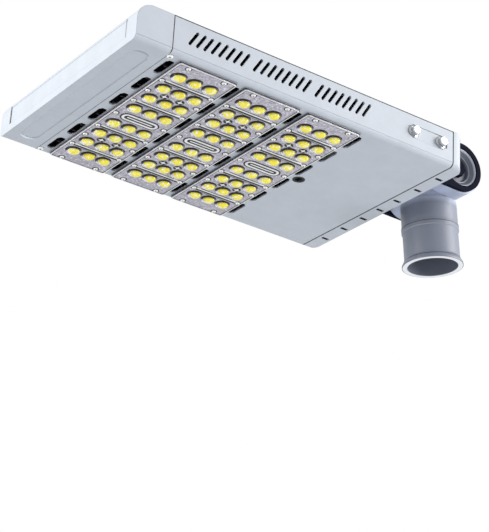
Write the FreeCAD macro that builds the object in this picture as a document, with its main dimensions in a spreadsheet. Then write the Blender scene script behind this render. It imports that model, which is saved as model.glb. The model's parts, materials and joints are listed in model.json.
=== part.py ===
import FreeCAD, Part
import math
import os
from types import SimpleNamespace

import Sketcher
from FreeCAD import Placement, Rotation, Vector

# LED street light head on an adjustable pole sleeve.
# Part frame: origin at the centre of the sleeve's mouth, +Z up along the pole, nose towards +X.
# The head is drawn flat in its own drawing frame and then tilted about the pivot as one:
# x runs from the nose face to the rear, y across, z up from the underside of the bottom plate.

# Driving dimensions, in millimetres and degrees
DRIVING = {
    # Housing
    "HousingWidth": 286.0,
    "SideHeight": 45.0,
    "TraySheet": 2.0,
    "TrayLength": 384.0,
    "TrayFoldRadius": 6.0,
    "TrayFlange": 14.0,
    "SeamGap": 0.3,
    "NoseLength": 44.9,
    "NoseWall": 3.0,
    "NoseRadius": 20.0,
    "NoseRecessDepth": 0.9,
    "NoseRecessWidth": 22.0,
    "NoseRecessInset": 20.0,
    "NoseFaceRecessLow": 9.0,
    "NoseFaceRecessHigh": 30.0,
    "NoseBevel": 12.0,
    "LugClearance": 1.0,
    "LugWidth": 8.0,
    "LugHeight": 8.0,
    "LugInset": 10.0,
    "RearCapLength": 18.0,
    "RearCapWall": 3.0,
    "RearMiter": 1.0,
    "RearCornerRadius": 14.0,
    "RearSlotLength": 9.0,
    "RearSlotWidth": 3.8,
    "RearSlotShift": -0.6,
    "RearSlotFirst": 31.8,
    "RearSlotPitch": 37.4,
    # Crowned top
    "CrownRise": 29.0,
    "CrownFoot": 6.0,
    "CrownRun": 40.0,
    "CoverSheet": 2.0,
    "CoverSlotShift": 12.0,
    "CoverSlotLength": 130.0,
    "CoverSlotWidth": 5.0,
    "CoverSlotPitch": 12.0,
    # Openings of the tray
    "OvalLength": 33.0,
    "OvalWidth": 10.0,
    "OvalInset": 15.5,
    "OvalFirst": 55.5,
    "CableHoleRadius": 5.9,
    "CableHolePlace": 317.2,
    "VentWidth": 3.5,
    "VentLength": 22.0,
    "VentLean": 30.5,
    "VentLevel": 25.8,
    "VentFirst": 70.1,
    "VentPitch": 9.45,
    "VentGroupPitch": 82.8,
    "BoltRecessLength": 60.0,
    "BoltRecessHeight": 17.2,
    "BoltRecessDepth": 0.8,
    "BoltPlace": 391.0,
    "BoltSpacing": 40.0,
    "BoltLevel": 24.2,
    # Light modules
    "ModuleFirst": 97.3,
    "ModulePitch": 83.65,
    "ModuleEdge": 8.0,
    "ModuleWidth": 73.0,
    "WindowMargin": 3.5,
    "WindowClearance": 0.5,
    "ModuleFlange": 1.2,
    "BlockHeight": 8.0,
    "FinReach": 41.4,
    "FinTop": 42.0,
    "FinThick": 2.0,
    "FinClearance": 0.5,
    "BoardThick": 1.0,
    "BoardSideMargin": 6.5,
    "BoardEndMargin": 4.0,
    "ChipSide": 5.0,
    "ChipHeight": 0.7,
    "GasketThick": 1.8,
    "GasketInset": 0.6,
    "LensThick": 1.3,
    "DomeRadius": 6.8,
    "DomeHeight": 4.2,
    "DomeTopRadius": 3.8,
    "LedColumnPitch": 20.0,
    "LedRowInner": 21.4,
    "LedPairPitch": 29.8,
    "LedRowOuter": 78.3,
    "RibHeight": 1.0,
    "RibWidth": 1.6,
    "RibLength": 58.0,
    "LoopLength": 44.0,
    "LoopWidth": 10.0,
    # Driver bay
    "BracketSheet": 3.0,
    "BracketStart": 354.0,
    "BracketEar": 36.0,
    "BracketWallWidth": 176.0,
    "BracketWallTop": 68.0,
    "DriverLength": 190.0,
    "DriverWidth": 50.0,
    "DriverHeight": 32.0,
    "DriverFoot": 10.0,
    "DriverFootThick": 3.0,
    "DriverGap": 6.0,
    "SurgeLength": 44.0,
    "SurgeWidth": 22.0,
    "SurgeHeight": 24.0,
    "BlockLength": 46.0,
    "BlockWidth": 18.0,
    "BlockRise": 20.0,
    "BayPlace": 328.0,
    "BaySpread": 60.0,
    # Fasteners
    "ScrewClearance": 0.15,
    "SideBoltRadius": 3.0,
    "SideBoltFlats": 10.0,
    "SideBoltHead": 5.2,
    "SideBoltFlange": 7.0,
    "SideBoltFlangeThick": 1.2,
    "SideBoltGrip": 8.0,
    # Pivot
    "TiltAngle": 6.0,
    "PivotPlace": 518.0,
    "PivotLevel": 64.5,
    "PivotOffset": 6.5,
    "PivotHeight": 113.0,
    "ArmSpan": 57.0,
    "ArmThick": 5.0,
    "ArmRadius": 31.5,
    "ArmTopAngle": 22.0,
    "FootWidth": 26.0,
    "FootTop": 70.0,
    "FootScrewRadius": 4.0,
    "FootScrewFlats": 13.0,
    "FootScrewHead": 5.3,
    "FootScrewEnd": 4.0,
    "FootScrewLevel": 52.0,
    "RunningGap": 0.3,
    "CupDepth": 7.0,
    "CupThroat": 18.0,
    "CupFloor": 4.0,
    "CupBottom": 16.0,
    "CupLip": 0.6,
    "NutClearance": 0.02,
    "SpigotClearance": 0.1,
    "SpigotRadius": 24.9,
    "PivotBoltRadius": 6.0,
    "PivotBoltFlats": 19.0,
    "PivotBoltHead": 7.5,
    "PivotBoltEnd": 2.0,
    # Pole sleeve
    "BoreRadius": 30.5,
    "SocketDepth": 70.0,
    "SleeveRadius": 33.9,
    "RimRadius": 37.3,
    "RimHeight": 2.0,
    "RimTaper": 6.5,
    "BandRadius": 35.0,
    "BandLow": 44.0,
    "BandHigh": 51.0,
    "NeckRadius": 34.4,
    "NeckHeight": 80.0,
    "LeanSeat": 2.0,
    "LeanStep": 1.2,
    "DrumRadius": 33.5,
    "WireWayRadius": 10.0,
    "SetScrewRadius": 4.0,
    "SetScrewFlats": 13.0,
    "SetScrewHead": 5.3,
    "SetScrewStandOff": 0.3,
    "SetScrewLow": 24.0,
    "SetScrewHigh": 60.0,
}
FIN_COUNT = 16
MODULE_COUNT = 3
OVALS_IN_ROW = 6
VENTS_IN_GROUP = 8
COVER_SLOTS = 4
REAR_SLOTS_A_SIDE = 3
# The recess of the side bolts lies along the housing
RECESS_LEAN = 90.0
# Small repeated round forms are drawn with this many flat sides
SLOT_FACETS = 3
FOLD_FACETS = 4
FLANGE_SIDES = 18
SHANK_SIDES = 12

doc = FreeCAD.newDocument("street_light_head")
sheet = doc.addObject("Spreadsheet::Sheet", "Sizes")
for row, (alias, number) in enumerate(DRIVING.items(), start=1):
    sheet.set(f"A{row}", alias)
    sheet.set(f"B{row}", str(number))
    sheet.setAlias(f"B{row}", alias)
doc.recompute()


class Size:
    """A number together with the sheet expression that it comes from."""

    def __init__(self, value, text):
        self.value = value
        self.text = text

    @staticmethod
    def of(other):
        if isinstance(other, Size):
            return other
        return Size(float(other), f"({float(other)!r})")

    def __add__(self, other):
        other = Size.of(other)
        return Size(self.value + other.value, f"({self.text} + {other.text})")

    def __sub__(self, other):
        other = Size.of(other)
        return Size(self.value - other.value, f"({self.text} - {other.text})")

    def __mul__(self, other):
        other = Size.of(other)
        return Size(self.value * other.value, f"({self.text} * {other.text})")

    def __truediv__(self, other):
        other = Size.of(other)
        return Size(self.value / other.value, f"({self.text} / {other.text})")

    def __neg__(self):
        return self * -1

    def __radd__(self, other):
        return Size.of(other) + self

    def __rsub__(self, other):
        return Size.of(other) - self

    def __rmul__(self, other):
        return Size.of(other) * self


s = SimpleNamespace(**{alias: Size(sheet.get(alias), f"Sizes.{alias}") for alias in DRIVING})

# Places that several pieces share, worked out from the driving dimensions
half_width = s.HousingWidth / 2
tray_start = s.NoseLength + s.SeamGap
tray_end = tray_start + s.TrayLength
rear_start = tray_end + s.SeamGap
rear_end = rear_start + s.RearCapLength
crown_low = half_width - s.CrownFoot
crown_high = crown_low - s.CrownRun
crown_top = s.SideHeight + s.CrownRise
lug_line = half_width - s.LugInset
lug_reach = s.ModuleFirst - s.FinReach - s.NoseLength - s.LugClearance
module_length = s.HousingWidth - s.ModuleEdge * 2
board_width = s.ModuleWidth - s.BoardSideMargin * 2
board_length = module_length - s.BoardEndMargin * 2
oval_pitch = (s.HousingWidth - s.OvalInset * 2 - s.OvalLength) / (OVALS_IN_ROW - 1)
module_places = [s.ModuleFirst + s.ModulePitch * k for k in range(MODULE_COUNT)]
module_names = ["front", "middle", "rear"]
block_half = s.ModuleWidth / 2 - s.WindowMargin
block_span = module_length / 2 - s.WindowMargin * 2
board_top = -s.ModuleFlange
chip_top = board_top - s.BoardThick
lens_top = board_top - s.GasketThick
lens_face = lens_top - s.LensThick
led_rows = [
    s.LedRowInner, s.LedRowInner + s.LedPairPitch, s.LedRowOuter, s.LedRowOuter + s.LedPairPitch,
]
led_places = [
    (s.LedColumnPitch * column, row * side)
    for column in (-1, 0, 1)
    for side in (-1, 1)
    for row in led_rows
]
bolt_places = [s.BoltPlace - s.BoltSpacing / 2, s.BoltPlace + s.BoltSpacing / 2]
arm_inside = s.ArmSpan - s.ArmThick
drum_half = arm_inside - s.RunningGap
foot_screw_y = s.ArmSpan + s.FootWidth / 2
foot_face = rear_end
drum_bore = s.SpigotRadius + s.SpigotClearance


def bind(item, prop, size):
    """Give a property its value through the sheet."""
    item.setExpression(prop, Size.of(size).text)


# Sketches, drawn on the origin planes of their own body
def new_body(label):
    body = doc.addObject("PartDesign::Body", label)
    body.Label = label
    return body


def origin_of(body, role):
    return next(item for item in body.Origin.OriginFeatures if item.Role == role)


def new_sketch(body, name, plane, offset=0):
    sketch = body.newObject("Sketcher::SketchObject", name)
    sketch.AttachmentSupport = (origin_of(body, plane), [""])
    sketch.MapMode = "FlatFace"
    bind(sketch, "AttachmentOffset.Base.z", offset)
    return sketch


def constrain(sketch, constraint, size):
    index = sketch.addConstraint(constraint)
    bind(sketch, f"Constraints[{index}]", size)


def fix_point(sketch, line, end, x, y):
    for kind, size in (("DistanceX", Size.of(x)), ("DistanceY", Size.of(y))):
        constrain(sketch, Sketcher.Constraint(kind, -1, 1, line, end, size.value), size)


def polygon(sketch, corners):
    """Closed outline through corners given as pairs of sizes."""
    corners = [(Size.of(x), Size.of(y)) for x, y in corners]
    first = sketch.GeometryCount
    count = len(corners)
    points = [Vector(x.value, y.value, 0) for x, y in corners]
    for i in range(count):
        sketch.addGeometry(Part.LineSegment(points[i], points[(i + 1) % count]), False)
    for i in range(count):
        after = first + (i + 1) % count
        sketch.addConstraint(Sketcher.Constraint("Coincident", first + i, 2, after, 1))
    for i, (x, y) in enumerate(corners):
        fix_point(sketch, first + i, 1, x, y)


def rectangle(sketch, x, y, width, height):
    """Rectangle about a centre."""
    left, right = x - width / 2, x + width / 2
    low, high = y - height / 2, y + height / 2
    polygon(sketch, [(left, low), (right, low), (right, high), (left, high)])


def circle(sketch, x, y, radius):
    x, y, radius = Size.of(x), Size.of(y), Size.of(radius)
    ring = Part.Circle(Vector(x.value, y.value, 0), Vector(0, 0, 1), radius.value)
    index = sketch.addGeometry(ring, False)
    fix_point(sketch, index, 3, x, y)
    constrain(sketch, Sketcher.Constraint("Radius", index, radius.value), radius)


# Features
def add_feature(body, kind, name, profile):
    feature = body.newObject(kind, name)
    feature.Profile = profile
    return feature


def pad(body, name, profile, length, both=False, flip=False):
    """Material from a sketch, along its normal or evenly to both sides."""
    feature = add_feature(body, "PartDesign::Pad", name, profile)
    bind(feature, "Length", length)
    feature.Midplane = both
    feature.Reversed = flip
    return feature


def pocket(body, name, profile, length, both=False, flip=False):
    """Cut from a sketch against its normal, or evenly to both sides, or flipped along it."""
    feature = add_feature(body, "PartDesign::Pocket", name, profile)
    bind(feature, "Length", length)
    feature.Midplane = both
    feature.Reversed = flip
    return feature


def repeat(body, name, features, axis, pitch, count, second=None):
    """Row of a feature along an origin axis, or a grid with a second axis, pitch and count."""
    pattern = body.newObject("PartDesign::LinearPattern", name)
    pattern.Originals = features
    pattern.Direction = (origin_of(body, axis), [""])
    bind(pattern, "Length", pitch * (count - 1))
    pattern.Occurrences = count
    if second is not None:
        axis_b, pitch_b, count_b = second
        pattern.Direction2 = (origin_of(body, axis_b), [""])
        bind(pattern, "Length2", pitch_b * (count_b - 1))
        pattern.Occurrences2 = count_b
    body.Tip = pattern
    return pattern


def edges_where(feature, axis, test):
    """Names of the straight edges along an axis whose ends both pass a test."""
    doc.recompute()
    names = []
    for index, edge in enumerate(feature.Shape.Edges, start=1):
        ends = [vertex.Point for vertex in edge.Vertexes]
        run = ends[-1] - ends[0]
        straight = abs(abs(run.dot(axis)) - edge.Length) < 0.001
        if straight and all(test(point) for point in ends):
            names.append(f"Edge{index}")
    return names



def faceted_slot(sketch, x, y, length, width, lean=0.0):
    """Slot about a centre whose round ends have a few facets each; it leans from y towards x."""
    radius = width / 2
    reach = (length - width) / 2
    run = round(math.sin(math.radians(lean)), 9)
    rise = round(math.cos(math.radians(lean)), 9)
    corners = []
    for side in (1, -1):
        for step in range(SLOT_FACETS + 1):
            angle = math.pi / SLOT_FACETS * step
            across = radius * (math.cos(angle) * side)
            along = (reach + radius * math.sin(angle)) * side
            corners.append((x + across * rise + along * run, y + along * rise - across * run))
    polygon(sketch, corners)


def screw_hole(sketch, x, y, radius):
    """Clearance hole, drawn just outside its circle with as many sides as a small shank has."""
    corners = []
    outside = radius / math.cos(math.pi / SHANK_SIDES)
    for step in range(SHANK_SIDES):
        angle = 2 * math.pi * step / SHANK_SIDES
        corners.append((x + outside * math.cos(angle), y + outside * math.sin(angle)))
    polygon(sketch, corners)


def fillet(body, name, base, radius, axis, test):
    feature = body.newObject("PartDesign::Fillet", name)
    feature.Base = (base, edges_where(base, axis, test))
    bind(feature, "Radius", radius)
    return feature


def near(a, b):
    return abs(a - Size.of(b).value) < 0.01


X_WAY = Vector(1, 0, 0)
Y_WAY = Vector(0, 1, 0)
Z_WAY = Vector(0, 0, 1)


# Primitives for the simple turned and block pieces
def cylinder(name, radius, height, base, turn=(0, 0, 0)):
    item = doc.addObject("Part::Cylinder", name)
    bind(item, "Radius", radius)
    bind(item, "Height", height)
    set_place(item, base, turn)
    return item


def prism(name, sides, radius, height, base, turn=(0, 0, 0)):
    item = doc.addObject("Part::Prism", name)
    item.Polygon = sides
    bind(item, "Circumradius", radius)
    bind(item, "Height", height)
    set_place(item, base, turn)
    return item


def hexagon(name, flats, height, base, turn=(0, 0, 0)):
    return prism(name, 6, flats / math.sqrt(3), height, base, turn)


def block(name, length, width, height, centre, low):
    """Box about a centre in plan, standing on a level."""
    item = doc.addObject("Part::Box", name)
    bind(item, "Length", length)
    bind(item, "Width", width)
    bind(item, "Height", height)
    x, y = centre
    set_place(item, (x - length / 2, y - width / 2, low))
    return item


def set_place(item, base, turn=(0, 0, 0)):
    """Base from the sheet, and a turn given as yaw, pitch and roll."""
    item.Placement.Rotation = Rotation(*turn)
    for axis, size in zip("xyz", base):
        bind(item, f"Placement.Base.{axis}", size)


def join(name, items):
    item = doc.addObject("Part::MultiFuse", name)
    item.Shapes = items
    item.Refine = True
    return item


def cut(name, base, tool):
    item = doc.addObject("Part::Cut", name)
    item.Base = base
    item.Tool = tool
    return item


def group(label, master, places):
    """Identical loose pieces that share one sub-part: copies of a master at given placements."""
    doc.recompute()
    item = doc.addObject("Part::Feature", label)
    copies = []
    for place in places:
        copy = master.Shape.copy()
        copy.Placement = place.multiply(copy.Placement)
        copies.append(copy)
    item.Shape = Part.makeCompound(copies)
    return item


def at(x, y, z, turn=(0, 0, 0)):
    return Placement(Vector(*(Size.of(v).value for v in (x, y, z))), Rotation(*turn))


ALONG_X = (0, 90, 0)
AGAINST_X = (0, -90, 0)
ALONG_Y = (0, 0, -90)
AGAINST_Y = (0, 0, 90)


def make_nose_cap():
    """Cast front cap: rounded top edge, hollow from behind, two screw lugs that reach into the tray."""
    body = new_body("nose_cap")
    side = new_sketch(body, "NoseSide", "XZ_Plane")
    corners = [(0, 0), (s.NoseLength, 0), (s.NoseLength, s.SideHeight), (0, s.SideHeight)]
    polygon(side, corners)
    shell = pad(body, "NoseBlock", side, s.HousingWidth, both=True)
    rounded = fillet(body, "NoseRound", shell, s.NoseRadius, Y_WAY,
                     lambda p: near(p.x, 0) and near(p.z, s.SideHeight))
    fillet(body, "NoseFold", rounded, s.TrayFoldRadius, X_WAY,
           lambda p: near(abs(p.y), half_width) and near(p.z, 0))
    inside = new_sketch(body, "NoseInside", "XZ_Plane")
    wall = s.NoseWall
    top = s.SideHeight - wall
    mouth = s.NoseLength + wall
    polygon(inside, [(wall, wall), (mouth, wall), (mouth, top),
                     (wall + s.NoseBevel, top), (wall, top - s.NoseBevel)])
    pocket(body, "NoseHollow", inside, s.HousingWidth - wall * 2, both=True)
    under = new_sketch(body, "NoseUnder", "XY_Plane")
    faceted_slot(under, s.NoseLength / 2, Size.of(0), s.HousingWidth - s.NoseRecessInset * 2,
                 s.NoseRecessWidth)
    pocket(body, "NoseUnderRecess", under, s.NoseRecessDepth, flip=True)
    face = new_sketch(body, "NoseFace", "YZ_Plane")
    rectangle(face, 0, (s.NoseFaceRecessLow + s.NoseFaceRecessHigh) / 2,
              s.HousingWidth - s.NoseRecessInset * 2, s.NoseFaceRecessHigh - s.NoseFaceRecessLow)
    pocket(body, "NoseFaceRecess", face, s.NoseRecessDepth, flip=True)
    lugs = new_sketch(body, "NoseLugs", "XY_Plane", s.TraySheet)
    root = s.NoseWall * 2
    for sign in (-1, 1):
        rectangle(lugs, s.NoseLength + (lug_reach - root) / 2, lug_line * sign,
                  lug_reach + root, s.LugWidth)
    pad(body, "NoseLugPads", lugs, s.LugHeight)
    return body


def make_body_tray():
    """Folded sheet tray: bottom, two sides and return flanges, with all its punched openings."""
    body = new_body("body_tray")
    section = new_sketch(body, "TraySection", "YZ_Plane", tray_start)
    sheet_wall = s.TraySheet
    lip = half_width - s.TrayFlange
    inner = half_width - sheet_wall
    under_lip = s.SideHeight - sheet_wall
    right = [(half_width, 0), (half_width, s.SideHeight), (lip, s.SideHeight), (lip, under_lip),
             (inner, under_lip), (inner, sheet_wall)]
    left = [(-y, z) for y, z in reversed(right)]
    polygon(section, right + left)
    shell = pad(body, "TrayFold", section, s.TrayLength)
    outer = fillet(body, "TrayOuterFold", shell, s.TrayFoldRadius, X_WAY,
                   lambda p: near(abs(p.y), half_width) and near(p.z, 0))
    fillet(body, "TrayInnerFold", outer, s.TrayFoldRadius - sheet_wall, X_WAY,
           lambda p: near(abs(p.y), inner) and near(p.z, sheet_wall))
    through = sheet_wall * 4
    window = new_sketch(body, "TrayWindow", "XY_Plane")
    rectangle(window, s.ModuleFirst, 0, (block_half + s.WindowClearance) * 2,
              (block_span + s.WindowClearance) * 2)
    opening = pocket(body, "TrayWindowCut", window, through, both=True)
    repeat(body, "TrayWindows", [opening], "X_Axis", s.ModulePitch, MODULE_COUNT)
    oval = new_sketch(body, "TrayOval", "XY_Plane")
    faceted_slot(oval, s.OvalFirst, oval_pitch * (1 - OVALS_IN_ROW) / 2, s.OvalLength, s.OvalWidth)
    oval_cut = pocket(body, "TrayOvalCut", oval, through, both=True)
    repeat(body, "TrayOvals", [oval_cut], "Y_Axis", oval_pitch, OVALS_IN_ROW,
           ("X_Axis", s.ModulePitch, MODULE_COUNT + 1))
    hole = new_sketch(body, "TrayCableHole", "XY_Plane")
    screw_hole(hole, s.CableHolePlace, Size.of(0), s.CableHoleRadius)
    pocket(body, "TrayCableCut", hole, through, both=True)
    vent = new_sketch(body, "TrayVent", "XZ_Plane")
    faceted_slot(vent, s.VentFirst, s.VentLevel, s.VentLength, s.VentWidth, sheet.get("VentLean"))
    across = s.HousingWidth + through
    vent_cut = pocket(body, "TrayVentCut", vent, across, both=True)
    repeat(body, "TrayVents", [vent_cut], "X_Axis", s.VentPitch, VENTS_IN_GROUP,
           ("X_Axis", s.VentGroupPitch, MODULE_COUNT))
    recess_depth = half_width - s.BoltRecessDepth
    for name, sign in (("Near", 1), ("Far", -1)):
        recess = new_sketch(body, "TrayRecess" + name, "XZ_Plane", recess_depth * sign)
        faceted_slot(recess, s.BoltPlace, s.BoltLevel, s.BoltRecessLength, s.BoltRecessHeight,
                     RECESS_LEAN)
        pocket(body, "TrayRecessCut" + name, recess, s.BoltRecessDepth * 2, flip=sign > 0)
    bolts = new_sketch(body, "TrayBolts", "XZ_Plane")
    for place in bolt_places:
        screw_hole(bolts, place, s.BoltLevel, s.SideBoltRadius + s.ScrewClearance)
    pocket(body, "TrayBoltHoles", bolts, across, both=True)
    return body


def crown_wedge(body, kind, name, level, inset, rear, height):
    """Frustum with an upright rear face whose other sides slope in towards its flat top."""
    low_front = tray_start + s.SeamGap + s.CrownFoot + inset
    feature = body.newObject(kind, name)
    feature.AttachmentSupport = (origin_of(body, "XY_Plane"), [""])
    feature.MapMode = "FlatFace"
    feature.AttachmentOffset = Placement(Vector(0, 0, 0), Rotation(X_WAY, 90))
    bind(feature, "AttachmentOffset.Base.z", level)
    sizes = {
        "Xmin": low_front, "Xmax": rear, "X2min": low_front + s.CrownRun, "X2max": rear,
        "Ymin": 0, "Ymax": height,
        "Zmin": inset - crown_low, "Zmax": crown_low - inset,
        "Z2min": inset - crown_high, "Z2max": crown_high - inset,
    }
    for prop, size in sizes.items():
        bind(feature, prop, size)
    return feature


def make_top_cover():
    """Pressed cover: a rim on the tray's flanges and a crown that slopes up to a flat top."""
    body = new_body("top_cover")
    base_level = s.SideHeight
    front = tray_start + s.SeamGap
    rim = new_sketch(body, "CoverRim", "XY_Plane", base_level)
    length = tray_end - front
    rectangle(rim, front + length / 2, 0, length, crown_low * 2 + s.CoverSheet)
    pad(body, "CoverPlate", rim, s.CoverSheet)
    plate_top = base_level + s.CoverSheet
    crown_wedge(body, "PartDesign::AdditiveWedge", "CoverCrown", plate_top, Size.of(0), tray_end,
                crown_top - plate_top)
    crown_wedge(body, "PartDesign::SubtractiveWedge", "CoverHollow", base_level, s.CoverSheet,
                tray_end + s.CoverSheet, crown_top - plate_top)
    slots = new_sketch(body, "CoverSlot", "XY_Plane", crown_top)
    rectangle(slots, s.ModuleFirst + s.CoverSlotShift, 0, s.CoverSlotWidth, s.CoverSlotLength)
    slot = pocket(body, "CoverSlotCut", slots, s.CoverSheet * 3, both=True)
    repeat(body, "CoverSlots", [slot], "X_Axis", s.CoverSlotPitch, COVER_SLOTS,
           ("X_Axis", s.ModulePitch, MODULE_COUNT))
    return body


def make_rear_cap():
    """Cast rear cap: the tray's end, raised in the middle, hollow, with slots in its underside."""
    body = new_body("rear_cap")
    wall = s.RearCapWall

    def full_outline(foot, inset, narrow):
        side = half_width - inset
        right = foot + [(side, s.SideHeight - inset), (crown_low - narrow, s.SideHeight - inset),
                        (crown_high - narrow, crown_top - inset)]
        return right + [(-y, z) for y, z in reversed(right)]

    fold = s.TrayFoldRadius
    turns = [math.pi / 2 * step / FOLD_FACETS for step in range(FOLD_FACETS + 1)]
    folded_foot = [(half_width - fold * (1 - math.sin(turn)), fold * (1 - math.cos(turn)))
                   for turn in turns]

    outside = new_sketch(body, "RearOutline", "YZ_Plane", rear_start)
    polygon(outside, full_outline(folded_foot, Size.of(0), Size.of(0)))
    solid = pad(body, "RearBlock", outside, s.RearCapLength)
    fillet(body, "RearCorners", solid, s.RearCornerRadius, Z_WAY,
           lambda p: near(p.x, rear_end) and near(abs(p.y), half_width))
    inside = new_sketch(body, "RearInside", "YZ_Plane", rear_start)
    polygon(inside, full_outline([(half_width - wall, wall)], wall, s.RearMiter))
    pocket(body, "RearHollow", inside, s.RearCapLength - wall, flip=True)
    slots = new_sketch(body, "RearSlots", "XY_Plane")
    steps = [s.RearSlotFirst + s.RearSlotPitch * k for k in range(REAR_SLOTS_A_SIDE)]
    places = [Size.of(0)] + steps + [-step for step in steps]
    for place in places:
        rectangle(slots, rear_start + s.RearCapLength / 2, place + s.RearSlotShift,
                  s.RearSlotLength, s.RearSlotWidth)
    pocket(body, "RearSlotCuts", slots, wall * 3, both=True)
    holes = new_sketch(body, "RearHoles", "YZ_Plane", rear_end)
    for sign in (-1, 1):
        screw_hole(holes, foot_screw_y * sign, s.FootScrewLevel, s.FootScrewRadius + s.ScrewClearance)
    pocket(body, "RearHoleCuts", holes, wall * 2, both=True)
    return body


def make_heat_sink(name, place):
    """Extruded heat sink: a flange under the tray, a block in its window and a row of fins above."""
    body = new_body(f"heat_sink_{name}")
    flange = new_sketch(body, "SinkFlange", "XY_Plane", -s.ModuleFlange)
    rectangle(flange, place, 0, s.ModuleWidth, module_length)
    pad(body, "SinkFlangePad", flange, s.ModuleFlange)
    core = new_sketch(body, "SinkBlock", "XY_Plane")
    rectangle(core, place, 0, block_half * 2, block_span * 2)
    pad(body, "SinkBlockPad", core, s.BlockHeight)
    fin = new_sketch(body, "SinkFin", "XY_Plane", s.TraySheet + s.FinClearance)
    fin_pitch = (block_span * 2 - s.FinThick) / (FIN_COUNT - 1)
    rectangle(fin, place, s.FinThick / 2 - block_span, s.FinReach * 2, s.FinThick)
    blade = pad(body, "SinkFinPad", fin, s.FinTop - s.TraySheet - s.FinClearance)
    repeat(body, "SinkFins", [blade], "Y_Axis", fin_pitch, FIN_COUNT)
    return body


def slab(label, centre, low, length, width, height):
    """Plain block in a body of its own, standing on a level."""
    body = new_body(label)
    outline = new_sketch(body, "Outline", "XY_Plane", low)
    rectangle(outline, centre[0], centre[1], length, width)
    pad(body, "Block", outline, height)
    return body


def make_led_board(name, place):
    low = board_top - s.BoardThick
    return slab(f"led_board_{name}", (place, Size.of(0)), low, board_width, board_length, s.BoardThick)


def make_led_chips(name, place):
    """Light-emitting chips, one under each dome."""
    master = block(f"ChipMaster_{name}", s.ChipSide, s.ChipSide, s.ChipHeight, (Size.of(0), 0),
                   chip_top - s.ChipHeight)
    return group(f"led_chips_{name}", master, [at(place + x, y, 0) for x, y in led_places])


def make_gasket(name, place):
    """Rubber frame round the board, between heat sink and lens plate."""
    body = new_body(f"module_gasket_{name}")
    frame = new_sketch(body, "GasketFrame", "XY_Plane", lens_top)
    width = s.ModuleWidth - s.GasketInset * 2
    length = module_length - s.GasketInset * 2
    rectangle(frame, place, 0, width, length)
    rectangle(frame, place, 0, board_width + s.SeamGap * 2, board_length + s.SeamGap * 2)
    pad(body, "GasketPad", frame, s.GasketThick)
    return body


def make_dome():
    """Eight-sided dome below the lens plate: what two four-sided wedges, turned half a side, share."""
    wedges = []
    for index, yaw in enumerate((0, 45)):
        wedge = doc.addObject("Part::Wedge", f"DomeWedge{index}")
        for end, reach in (("", s.DomeRadius), ("2", s.DomeTopRadius)):
            for axis in "XZ":
                bind(wedge, f"{axis}{end}min", -reach)
                bind(wedge, f"{axis}{end}max", reach)
        bind(wedge, "Ymin", 0)
        bind(wedge, "Ymax", s.DomeHeight)
        set_place(wedge, (0, 0, lens_face), (yaw, 0, -90))
        wedges.append(wedge)
    dome = doc.addObject("Part::MultiCommon", "DomeMaster")
    dome.Shapes = wedges
    return dome


def make_lens_plate(name, place, dome):
    """Moulded lens plate: 24 domes, cross ribs and a loop rib in the middle."""
    body = new_body(f"LensPlate_{name}")
    plate = new_sketch(body, "LensOutline", "XY_Plane", lens_face)
    rectangle(plate, place, 0, s.ModuleWidth, module_length)
    pad(body, "LensPad", plate, s.LensThick)
    ribs = new_sketch(body, "LensRibs", "XY_Plane", lens_face)
    for sign in (-1, 1):
        for row in (s.LedRowInner, s.LedRowOuter):
            rectangle(ribs, place, (row + s.LedPairPitch / 2) * sign, s.RibLength, s.RibWidth)
        rectangle(ribs, place, s.LoopWidth / 2 * sign, s.LoopLength, s.RibWidth)
    pad(body, "LensRibPad", ribs, s.RibHeight, flip=True)
    domes = group(f"LensDomes_{name}", dome, [at(place + x, y, 0) for x, y in led_places])
    return join(f"lens_plate_{name}", [body, domes])


def make_cross_bracket():
    """Folded bracket in the rear bay: floor, two ears for the side bolts and a wall for the arms."""
    body = new_body("cross_bracket")
    wall = s.BracketSheet
    low = s.TraySheet
    ear_face = half_width - s.TraySheet
    ear = ear_face - wall
    floor_side = ear_face - s.TrayFoldRadius
    section = new_sketch(body, "BracketSection", "YZ_Plane", s.BracketStart)
    right = [(floor_side, low), (ear_face, low + s.TrayFoldRadius), (ear_face, s.BracketEar),
             (ear, s.BracketEar), (ear, low + s.TrayFoldRadius + wall), (floor_side - wall, low + wall)]
    polygon(section, right + [(-y, z) for y, z in reversed(right)])
    length = tray_end - s.BracketStart
    pad(body, "BracketFold", section, length)
    upright = new_sketch(body, "BracketWall", "YZ_Plane", tray_end - wall)
    middle = (low + s.BracketWallTop) / 2
    rectangle(upright, 0, middle, s.BracketWallWidth, s.BracketWallTop - low)
    pad(body, "BracketWallPad", upright, wall)
    notches = new_sketch(body, "BracketNotches", "XZ_Plane")
    notch_low = s.BoltLevel - s.SideBoltRadius - s.ScrewClearance
    notch_high = s.BracketEar + wall
    for place in bolt_places:
        rectangle(notches, place, (notch_low + notch_high) / 2,
                  (s.SideBoltRadius + s.ScrewClearance) * 2, notch_high - notch_low)
    pocket(body, "BracketNotchCuts", notches, s.HousingWidth, both=True)
    return body


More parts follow.
